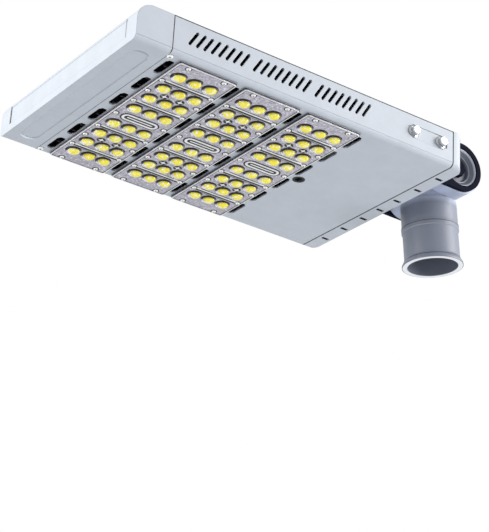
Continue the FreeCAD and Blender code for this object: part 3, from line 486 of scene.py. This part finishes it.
def ring_points(centre, radius, level, count):
    x, y = centre
    turns = [2 * math.pi * k / count for k in range(count)]
    return [Vector((x + radius * math.cos(turn), y + radius * math.sin(turn), level)) for turn in turns]


def stadium_points(centre, length, width, level, steps):
    """Outline with round ends, its long way along x."""
    radius = width / 2
    reach = (length - width) / 2
    points = []
    for side in (1, -1):
        for k in range(steps + 1):
            angle = math.pi * k / steps - math.pi / 2
            offset = Vector(((reach + radius * math.cos(angle)) * side,
                             radius * math.sin(angle) * side, level))
            points.append(offset + Vector((*centre, 0)))
    return points


def rounded_box_points(centre, length, width, radius, level):
    x, y = centre
    along = length / 2 - radius
    across = width / 2 - radius
    steps = 5
    points = []
    for quarter, (sx, sy) in enumerate(((1, 1), (-1, 1), (-1, -1), (1, -1))):
        corner = Vector((x + sx * along, y + sy * across, level))
        for k in range(steps + 1):
            angle = math.pi / 2 * (quarter + k / steps)
            points.append(corner + Vector((math.cos(angle), math.sin(angle), 0)) * radius)
    return points


def stack(mesh, loops, close_first=True, close_last=True, material=0):
    """Skin closed loops of equal length one after another, and close the ends."""
    rows = [[mesh.verts.new(p) for p in loop] for loop in loops]
    count = len(rows[0])
    faces = []
    for low, high in zip(rows, rows[1:]):
        for k in range(count):
            after = (k + 1) % count
            faces.append(mesh.faces.new((low[k], low[after], high[after], high[k])))
    if close_first:
        faces.append(mesh.faces.new(rows[0][::-1]))
    if close_last:
        faces.append(mesh.faces.new(rows[-1]))
    for face in faces:
        face.material_index = material
    return rows


def rounded_plug(mesh, outline, low, high, soft, material=0):
    """Closed prism between two levels whose edge at the second level is rounded."""
    way = 1 if high > low else -1
    loops = [outline(0.0, low), outline(0.0, high - soft * way)]
    steps = 3
    for k in range(1, steps + 1):
        angle = math.pi / 2 * k / steps
        loops.append(outline(soft * (1 - math.cos(angle)), high - soft * way * (1 - math.sin(angle))))
    stack(mesh, loops, material=material)


def frame_ring(mesh, outer, inner, low, high, material=0):
    """Closed ring between two outlines of equal count."""
    rows = [[mesh.verts.new(p) for p in loop] for loop in (outer(low), outer(high), inner(high), inner(low))]
    count = len(rows[0])
    for first, second in zip(rows, rows[1:] + rows[:1]):
        for k in range(count):
            after = (k + 1) % count
            face = mesh.faces.new((first[k], first[after], second[after], second[k]))
            face.material_index = material


# Lens plates
def module_centre(index):
    return MODULE_FIRST + MODULE_PITCH * index


def led_places(x):
    return [(x + dx, row * side) for dx in LED_COLUMNS for row in LED_ROWS for side in (-1, 1)]


def plate_outline(x, inset, corner, level):
    """Outline of a lens plate, drawn in by an inset."""
    return rounded_box_points((x, 0), MODULE_WIDTH - inset * 2, MODULE_LENGTH - inset * 2, corner, level)


def add_star(mesh, x, y):
    """Four-pointed boss of painted highlight in a round well of painted shade, between four lenses."""
    rounded_plug(mesh, lambda inset, z: ring_points((x, y), STAR_WELL_RADIUS - inset, z, 16),
                 LENS_FACE + 0.1, LENS_FACE - 0.12, 0.05, PAINTED_SHADE)
    loops = []
    for drop, taper in ((0.0, 1.0), (STAR_HEIGHT, 0.9)):
        loop = []
        for k in range(STAR_POINTS * 2):
            radius = (STAR_WAIST if k % 2 else STAR_REACH) * taper
            angle = math.pi * k / STAR_POINTS
            loop.append(Vector((x + radius * math.cos(angle), y + radius * math.sin(angle),
                                LENS_FACE - drop)))
        loops.append(loop)
    stack(mesh, loops, material=PAINTED_HIGHLIGHT)


def make_lens_plate(name, index):
    """Moulded plate: rim, cross ribs, star bosses and a loop in the middle, drawn as white bars of painted
    highlight and dark lines of painted shade.
    """
    x = module_centre(index)
    mesh = bmesh.new()
    rounded_plug(mesh, lambda inset, z: plate_outline(x, inset, 3 - inset, z), LENS_TOP, LENS_FACE, 0.4)
    for inset, wide, high, material in RIM_STEPS:
        frame_ring(mesh, lambda z: plate_outline(x, inset, 2.5, z),
                   lambda z: plate_outline(x, inset + wide, 2.0, z),
                   LENS_FACE + 0.1, LENS_FACE - high, material)
    for row in (side * middle for side in (-1, 1) for middle in PAIR_MIDDLES):
        for shift, length, wide, high, material in RIBS:
            rounded_plug(mesh, lambda inset, z: stadium_points(
                (x, row + shift), length - inset * 2, wide - inset * 2, z, 6),
                LENS_FACE + 0.1, LENS_FACE - high, min(0.4, (high + 0.1) / 2), material)
    for side in (-1, 1):
        for dx in STAR_COLUMNS:
            add_star(mesh, x + dx, STAR_ROW * side)
    for length, width, thick, high, material in LOOP_RINGS:
        frame_ring(mesh, lambda z: stadium_points((x, 0), length, width, z, 8),
                   lambda z: stadium_points((x, 0), length - thick * 2, width - thick * 2, z, 8),
                   LENS_FACE + 0.1, LENS_FACE - high, material)
    for length, width, high, material in LOOP_BARS:
        rounded_plug(mesh, lambda inset, z: stadium_points((x, 0), length - inset, width - inset, z, 6),
                     LENS_FACE + 0.05, LENS_FACE - high, 0.15, material)
    for px, py in led_places(x):
        # Dark crescent of painted shade round each lens foot, shifted towards DARK_WAY
        shifted = (px + DARK_WAY.x * SHADE_RING_SHIFT, py + DARK_WAY.y * SHADE_RING_SHIFT)
        frame_ring(mesh, lambda z: ring_points(shifted, SHADE_RING_RADIUS, z, 28),
                   lambda z: ring_points((px, py), DOME_RADIUS - 0.3, z, 28),
                   LENS_FACE + 0.05, LENS_FACE - 0.05, PAINTED_SHADE)
    finish_piece(f"lens_plate_detail_{name}", mesh, ["lens_plastic", "painted_shade_black", "painted_highlight_white"],
                 replaces=(f"lens_plate_{name}",))


def make_gasket_lip(name, index):
    """Rubber lip that stands out round the plate."""
    x = module_centre(index)
    mesh = bmesh.new()
    frame_ring(mesh, lambda z: plate_outline(x, -0.5, 3.5, z), lambda z: plate_outline(x, 0.4, 2.6, z),
               -2.0, LENS_TOP - 0.1)
    finish_piece(f"gasket_lip_{name}", mesh, ["gasket_rubber"])


def make_domes(name, index):
    """24 smooth lenses: a dome and a collar that know how far they face the bright side, for their painted
    highlight and shade.
    """
    rings = 9
    count = 32
    mesh = bmesh.new()
    glint = mesh.verts.layers.float.new("glint")
    light_shade_tone = mesh.verts.layers.float.new("light_shade_tone")
    base = LENS_FACE - 0.2
    collar = ((COLLAR_RADIUS, 0.05), (COLLAR_RADIUS, -0.5), (COLLAR_RADIUS - 0.4, -COLLAR_HEIGHT),
              (DOME_RADIUS + 0.1, -COLLAR_HEIGHT), (DOME_RADIUS - 0.2, -0.4), (DOME_RADIUS - 0.2, 0.05))
    for px, py in led_places(module_centre(index)):
        middle = Vector((px, py))
        loops = []
        for k in range(rings):
            angle = math.pi / 2 * k / rings
            loops.append((DOME_RADIUS * math.cos(angle), base - DOME_HEIGHT * math.sin(angle)))
        rows = stack(mesh, [ring_points((px, py), radius, level, count) for radius, level in loops],
                     close_last=False)
        for row in rows:
            for vertex in row:
                vertex[glint] = max(0.0, (vertex.co.xy - middle).dot(BRIGHT_WAY) / DOME_RADIUS)
        top = mesh.verts.new((px, py, base - DOME_HEIGHT))
        for k in range(count):
            mesh.faces.new((rows[-1][k], rows[-1][(k + 1) % count], top))
        rows = stack(mesh, [ring_points((px, py), radius, LENS_FACE + level, count)
                            for radius, level in collar + collar[:1]], False, False, 1)
        for row in rows:
            for vertex in row:
                way = (vertex.co.xy - middle).normalized()
                bright = max(0.0, way.dot(BRIGHT_WAY) - 0.25) / 0.75
                dark = max(0.0, way.dot(DARK_WAY))
                vertex[light_shade_tone] = 0.45 + 0.55 * bright - 0.9 * dark
    bmesh.ops.remove_doubles(mesh, verts=mesh.verts, dist=WELD)
    finish_piece(f"lens_domes_{name}", mesh, ["lens_dome", "lens_collar"], smooth=60)


def add_pan_screw(mesh, x, y, radius, base, height):
    """Pan-head screw seen from below: rounded head with a cross recess drawn as two bars of painted shade."""
    loops = [ring_points((x, y), radius, base + 0.3, 18)]
    steps = 5
    for k in range(steps):
        angle = math.pi / 2 * k / steps
        loops.append(ring_points((x, y), radius * math.cos(angle) ** 0.35,
                                 base - height * math.sin(angle), 18))
    stack(mesh, loops)
    face = base - height * 0.93
    for turn in (math.pi / 4, -math.pi / 4):
        way = Vector((math.cos(turn), math.sin(turn), 0)) * radius * 0.4
        side = Vector((-math.sin(turn), math.cos(turn), 0)) * radius * 0.08
        middle = Vector((x, y, 0))
        corners = [middle + way + side, middle - way + side, middle - way - side, middle + way - side]
        stack(mesh, [[p + Vector((0, 0, face)) for p in corners],
                     [p + Vector((0, 0, face - height * 0.12)) for p in corners]], material=1)


def make_lens_screws(name, index):
    x = module_centre(index)
    mesh = bmesh.new()
    places = [(x + EDGE_SCREW_X * side, y) for side in (-1, 1) for y in EDGE_SCREW_ROWS]
    places += [(x + CORNER_SCREW_X * sx, CORNER_SCREW_Y * sy) for sx in (-1, 1) for sy in (-1, 1)]
    for px, py in places:
        # Ring of painted shade round each screw head
        frame_ring(mesh, lambda z: ring_points((px, py), LENS_SCREW_RADIUS + 1.3, z, 20),
                   lambda z: ring_points((px, py), LENS_SCREW_RADIUS - 0.2, z, 20),
                   LENS_FACE + 0.05, LENS_FACE - 0.12, 1)
        add_pan_screw(mesh, px, py, LENS_SCREW_RADIUS, LENS_FACE, LENS_SCREW_HEIGHT)
    finish_piece(f"lens_screws_{name}", mesh, ["screw_painted_reflection", "painted_shade_black"])


def make_nose_screws():
    mesh = bmesh.new()
    x, y = NOSE_SCREW
    for side in (-1, 1):
        # Ring of painted shade round each screw head
        frame_ring(mesh, lambda z: ring_points((x, y * side), NOSE_SCREW_RADIUS + 0.35, z, 24),
                   lambda z: ring_points((x, y * side), NOSE_SCREW_RADIUS - 0.1, z, 24), 0.05, -0.08, 1)
        add_pan_screw(mesh, x, y * side, NOSE_SCREW_RADIUS, 0.0, NOSE_SCREW_HEIGHT)
    finish_piece("nose_screws", mesh, ["screw_painted_reflection", "painted_shade_black"])


# Joint lines
def housing_path():
    """Points (y, z, outward y, outward z) along the tray's outline from one side's top to the other's."""
    path = [(-HOUSING_HALF, SIDE_TOP - 0.4, -1, 0), (-HOUSING_HALF, SIDE_TOP / 2, -1, 0)]
    steps = 6
    for k in range(steps + 1):
        angle = math.pi / 2 * k / steps
        across = math.cos(angle)
        down = math.sin(angle)
        path.append((-HOUSING_HALF + FOLD_RADIUS * (1 - across), FOLD_RADIUS * (1 - down),
                     -across, -down))
    return path + [(-y, z, -out_y, out_z) for y, z, out_y, out_z in reversed(path)]


def add_band(mesh, place, wide, wide_below):
    """Thin band across the housing at a place along it, of one width on the sides and one below."""
    loops = []
    for y, z, out_y, out_z in housing_path():
        half = (wide if abs(out_y) > 0.3 else wide_below) / 2
        loops.append([Vector((place + along, y + out_y * reach, z + out_z * reach))
                      for along, reach in ((-half, -0.25), (half, -0.25), (half, 0.1), (-half, 0.1))])
    stack(mesh, loops)


def add_strip(mesh, low, high, material=0):
    """Thin closed strip between two corners."""
    section = ((low[1], low[2]), (high[1], low[2]), (high[1], high[2]), (low[1], high[2]))
    stack(mesh, [[Vector((x, y, z)) for y, z in section] for x in (low[0], high[0])], material=material)


def make_joint_lines():
    mesh = bmesh.new()
    add_band(mesh, REAR_SEAM, 1.5, 1.5)
    add_band(mesh, NOSE_SEAM, 1.0, 0.4)
    for side in (-1, 1):
        add_strip(mesh, (NOSE_SEAM, (HOUSING_HALF - 0.3) * side, SIDE_TOP - 1.3),
                  (REAR_SEAM, (HOUSING_HALF + 0.1) * side, SIDE_TOP - 0.3))
        add_strip(mesh, (0.1, FACE_GROOVE * side, FACE_GROOVE_LOW),
                  (-0.06, (FACE_GROOVE + FACE_GROOVE_WIDTH) * side, FACE_GROOVE_HIGH), 1)
    finish_piece("joint_gaskets", mesh, ["gasket_rubber", "groove_shade"])


def crescent_points(centre, radius, thick, middle, half, level):
    """Outline of a crescent inside an arc, as thin as a thread at its tips."""
    x, y = centre
    steps = 14
    shares = [2 * k / steps - 1 for k in range(steps + 1)]
    outer = [(radius, share) for share in shares]
    inner = [(radius - thick * (0.05 + 0.95 * math.cos(math.pi / 2 * share)), share)
             for share in reversed(shares)]
    points = []
    for reach, share in outer + inner:
        angle = middle + half * share
        points.append(Vector((x + reach * math.cos(angle), y + reach * math.sin(angle), level)))
    return points


def make_recess_ends():
    """Soft shade and light at the two round ends of the recess under the nose."""
    mesh = bmesh.new()
    for side, material in ((-1, 0), (1, 1)):
        centre = (NOSE_RECESS_PLACE, NOSE_RECESS_END * side)
        stack(mesh, [crescent_points(centre, NOSE_RECESS_RADIUS, RECESS_SHADE_WIDTH, math.pi / 2 * side,
                                     RECESS_SHADE_ANGLE, level)
                     for level in (NOSE_RECESS_DEPTH + 0.1, -0.05)], material=material)
    finish_piece("recess_ends", mesh, ["recess_shade", "recess_light"])


def make_fold_lines():
    """Fine shade along the start of the fold between the sides and the bottom."""
    mesh = bmesh.new()
    start, end = FOLD_LINE_ANGLES
    for side in (-1, 1):
        corners = []
        for angle, reach in ((start, -0.2), (end, -0.2), (end, 0.04), (start, 0.04)):
            radius = FOLD_RADIUS + reach
            corners.append(((HOUSING_HALF - FOLD_RADIUS + radius * math.cos(angle)) * side,
                            FOLD_RADIUS - radius * math.sin(angle)))
        stack(mesh, [[Vector((x, y, z)) for y, z in corners] for x in (FOLD_LINE_START, REAR_SEAM)])
    finish_piece("fold_lines", mesh, ["recess_shade"])


def make_slot_shades():
    """Black linings in the drain slots under the rear cap, as painted shade inside the slots."""
    mesh = bmesh.new()
    for number in range(-REAR_SLOTS_A_SIDE, REAR_SLOTS_A_SIDE + 1):
        step = REAR_SLOT_FIRST + REAR_SLOT_PITCH * (abs(number) - 1) if number else 0
        centre = (REAR_SLOT_PLACE, math.copysign(step, number) + REAR_SLOT_SHIFT)
        frame_ring(mesh, lambda z: rounded_box_points(centre, *SLOT_SHADE_OUTSIDE, 0.5, z),
                   lambda z: rounded_box_points(centre, *SLOT_SHADE_INSIDE, 0.4, z), 1.2, -0.06)
    finish_piece("slot_shade_linings", mesh, ["gasket_rubber"])


def make_cable_grommet():
    """Rubber ring round the hole beside the rear module."""
    mesh = bmesh.new()
    frame_ring(mesh, lambda z: ring_points(CABLE_HOLE, GROMMET_OUTSIDE, z, 36),
               lambda z: ring_points(CABLE_HOLE, GROMMET_INSIDE, z, 36), 0.3, -0.3)
    finish_piece("cable_grommet", mesh, ["gasket_rubber"])


# Bolts, cups and sleeve
def add_hex_bolt(mesh, matrix):
    """Hex bolt with a washer face and a thin shade round it, drawn along +z and then put in place."""
    start = len(mesh.verts)
    corner = BOLT_FLATS / math.sqrt(3)
    shade_ring = ((BOLT_FLANGE_RADIUS + 0.5, -0.2), (BOLT_FLANGE_RADIUS + 0.5, 0.12))
    flange = ((BOLT_FLANGE_RADIUS, -0.2), (BOLT_FLANGE_RADIUS, BOLT_FLANGE_THICK * 0.4),
              (BOLT_FLANGE_RADIUS * 0.8, BOLT_FLANGE_THICK))
    head = ((corner, BOLT_FLANGE_THICK - 0.1), (corner, BOLT_FLANGE_THICK + BOLT_HEAD * 0.8),
            (corner * 0.86, BOLT_FLANGE_THICK + BOLT_HEAD))
    for section, count, material in ((shade_ring, 24, 1), (flange, 24, 2), (head, 6, 0)):
        stack(mesh, [ring_points((0, 0), radius, level, count) for radius, level in section],
              material=material)
    mesh.verts.ensure_lookup_table()
    bmesh.ops.transform(mesh, matrix=matrix, verts=mesh.verts[start:])


def make_side_bolts():
    mesh = bmesh.new()
    for side in (-1, 1):
        for x in BOLT_PLACES:
            place = Matrix.Translation((x, (HOUSING_HALF - BOLT_RECESS_DEPTH) * side, BOLT_LEVEL))
            outwards = Matrix.Rotation(-math.pi / 2 * side, 4, "X")
            turn = Matrix.Rotation(0.3 + x, 4, "Z")
            add_hex_bolt(mesh, place @ outwards @ turn)
    finish_piece("side_bolt_heads", mesh, ["fastener_steel", "groove_shade", "washer_steel"],
                 smooth=25, replaces=("side_bolts",))


def lathe(mesh, profile, count):
    """Closed profile of (radius, place, material) turned about the drawn pivot line."""
    turns = [2 * math.pi * k / count for k in range(count)]
    rows = [[mesh.verts.new((DRAWN_PIVOT.x + radius * math.cos(turn), place,
                             DRAWN_PIVOT.z + radius * math.sin(turn))) for turn in turns]
            for radius, place, _ in profile]
    for point, low, high in zip(profile, rows, rows[1:] + rows[:1]):
        for k in range(count):
            after = (k + 1) % count
            face = mesh.faces.new((low[k], low[after], high[after], high[k]))
            face.material_index = point[2]


def lip_points(lip, side, material):
    """Points over a small half-round lip that bulges outwards along the pivot line."""
    radius, depth, size = lip
    steps = 4
    points = []
    for k in range(steps + 1):
        angle = math.pi * k / steps
        points.append((radius + size * math.cos(angle),
                       (ARM_SPAN - depth + size * 0.8 * math.sin(angle)) * side, material))
    return points


def make_cup(name, side):
    """Dished cup at the pivot's end with a painted highlight on its lip and a fainter painted highlight on the
    throat edge.
    """
    mesh = bmesh.new()
    profile = [(CUP_RADIUS, (ARM_SPAN - CUP_BACK) * side, 0)]
    profile += lip_points(RIM_LIP, side, 1)
    profile += [(radius, (ARM_SPAN - depth) * side, 0) for radius, depth in CUP_DISH]
    profile += lip_points(THROAT_LIP, side, 2)
    profile += [(radius, (ARM_SPAN - depth) * side, 0) for radius, depth in CUP_THROAT]
    lathe(mesh, profile, 72)
    finish_piece(f"cup_detail_{name}", mesh, ["cup_metal", "cup_rim_highlight", "cup_throat_highlight"],
                 replaces=(f"pivot_cup_{name}",))


def make_sleeve_rings():
    """Painted shadow line over the raised band, painted highlight on the lip under it, painted shadow line over
    the rim, painted highlight on the mouth.
    """
    mesh = bmesh.new()
    band_shadow_line = ((BAND_RADIUS - 0.3, BAND_LINE), (BAND_RADIUS + 0.12, BAND_LINE),
                   (BAND_RADIUS + 0.12, BAND_LINE + 1.0), (BAND_RADIUS - 0.3, BAND_LINE + 1.0))
    lip = ((SLEEVE_RADIUS - 0.3, BAND_LOW - 1.3), (SLEEVE_RADIUS + 0.5, BAND_LOW - 0.9),
           (BAND_RADIUS + 0.15, BAND_LOW + 0.3), (SLEEVE_RADIUS - 0.3, BAND_LOW + 0.3))
    mouth = ((MOUTH_INSIDE, 0.1), (MOUTH_INSIDE, -0.15), (MOUTH_OUTSIDE, -0.15), (MOUTH_OUTSIDE, 0.1))
    for section, material in ((band_shadow_line, 0), (lip, 1), (RIM_SHADOW_LINE, 0), (mouth, 2)):
        rows = [ring_points((0, 0), radius, level, 96) for radius, level in section]
        stack(mesh, rows + rows[:1], False, False, material)
    bmesh.ops.remove_doubles(mesh, verts=mesh.verts, dist=WELD)
    finish_piece("sleeve_rings", mesh, ["sleeve_shadow", "sleeve_lip_highlight", "sleeve_mouth_highlight"],
                 body="sleeve", matrix=Matrix.Scale(MM, 4))


# Stage
def make_camera():
    data = bpy.data.cameras.new("camera")
    data.sensor_width = SENSOR
    data.lens = FOCAL_PIXELS * SENSOR / max(IMAGE)
    data.clip_start = 0.05
    data.clip_end = 200
    camera = bpy.data.objects.new("camera", data)
    bpy.context.scene.collection.objects.link(camera)
    turn = HEAD.to_3x3().normalized()
    right = turn @ CAMERA_RIGHT
    back = -(turn @ CAMERA_FORWARD)
    up = back.cross(right)
    basis = Matrix((right, up, back)).transposed().to_4x4()
    camera.matrix_world = Matrix.Translation(HEAD @ CAMERA_PLACE) @ basis
    bpy.context.scene.camera = camera


def background_ray(tree):
    """1 for camera, glossy and transmission rays."""
    path = tree.nodes.new("ShaderNodeLightPath")
    total = path.outputs["Is Camera Ray"]
    for output in ("Is Glossy Ray", "Is Transmission Ray"):
        larger = tree.nodes.new("ShaderNodeMath")
        larger.operation = "MAXIMUM"
        tree.links.new(total, larger.inputs[0])
        tree.links.new(path.outputs[output], larger.inputs[1])
        total = larger.outputs["Value"]
    return total


def make_world():
    world = bpy.data.worlds.new("studio")
    bpy.context.scene.world = world
    world.use_nodes = True
    tree = world.node_tree
    lit = tree.nodes["Background"]
    lit.inputs["Color"].default_value = (0.97, 0.985, 1.0, 1)
    lit.inputs["Strength"].default_value = WORLD_LIGHT
    seen = tree.nodes.new("ShaderNodeBackground")
    seen.inputs["Color"].default_value = (1, 1, 1, 1)
    seen.inputs["Strength"].default_value = 1.0
    mix = tree.nodes.new("ShaderNodeMixShader")
    tree.links.new(background_ray(tree), mix.inputs[0])
    tree.links.new(lit.outputs[0], mix.inputs[1])
    tree.links.new(seen.outputs[0], mix.inputs[2])
    tree.links.new(mix.outputs[0], tree.nodes["World Output"].inputs["Surface"])


def make_floor():
    mesh = bmesh.new()
    bmesh.ops.create_grid(mesh, x_segments=1, y_segments=1, size=FLOOR_SIZE / 2)
    data = bpy.data.meshes.new("floor")
    mesh.to_mesh(data)
    mesh.free()
    data.materials.append(new_material("floor_paint", (0.86, 0.87, 0.88), 0.8)[0])
    floor = bpy.data.objects.new("floor", data)
    floor.location.z = FLOOR_LEVEL
    bpy.context.scene.collection.objects.link(floor)


def add_light(name, place, target, size, power, color=WHITE):
    data = bpy.data.lights.new(name, "AREA")
    data.shape = "DISK"
    data.size = size
    data.energy = power
    data.color = color
    light = bpy.data.objects.new(name, data)
    light.location = Vector(place)
    light.rotation_euler = (Vector(target) - Vector(place)).to_track_quat("-Z", "Y").to_euler()
    bpy.context.scene.collection.objects.link(light)


def make_lights():
    centre = (0.25, 0, 0.1)
    add_light("nose", (3.2, -0.3, 0.7), centre, 1.6, 89, (1, 0.985, 0.955))
    add_light("side", (-2.4, 2.2, 0.45), centre, 2.6, 132, (1, 0.99, 0.975))
    add_light("rear", (-1.1, 0.35, -0.75), (0, 0, 0.1), 0.5, 4)
    add_light("under", (0.9, -0.4, -2.2), centre, 1.6, 5)


make_camera()
make_world()
make_floor()
make_lights()
dress_cad_nodes()
for index, name in enumerate(MODULE_NAMES):
    make_lens_plate(name, index)
    make_gasket_lip(name, index)
    make_domes(name, index)
    make_lens_screws(name, index)
make_nose_screws()
make_joint_lines()
make_recess_ends()
make_fold_lines()
make_slot_shades()
make_cable_grommet()
make_side_bolts()
make_sleeve_rings()
make_cup("near", -1)
make_cup("far", 1)

bpy.context.scene.view_settings.view_transform = "Standard"
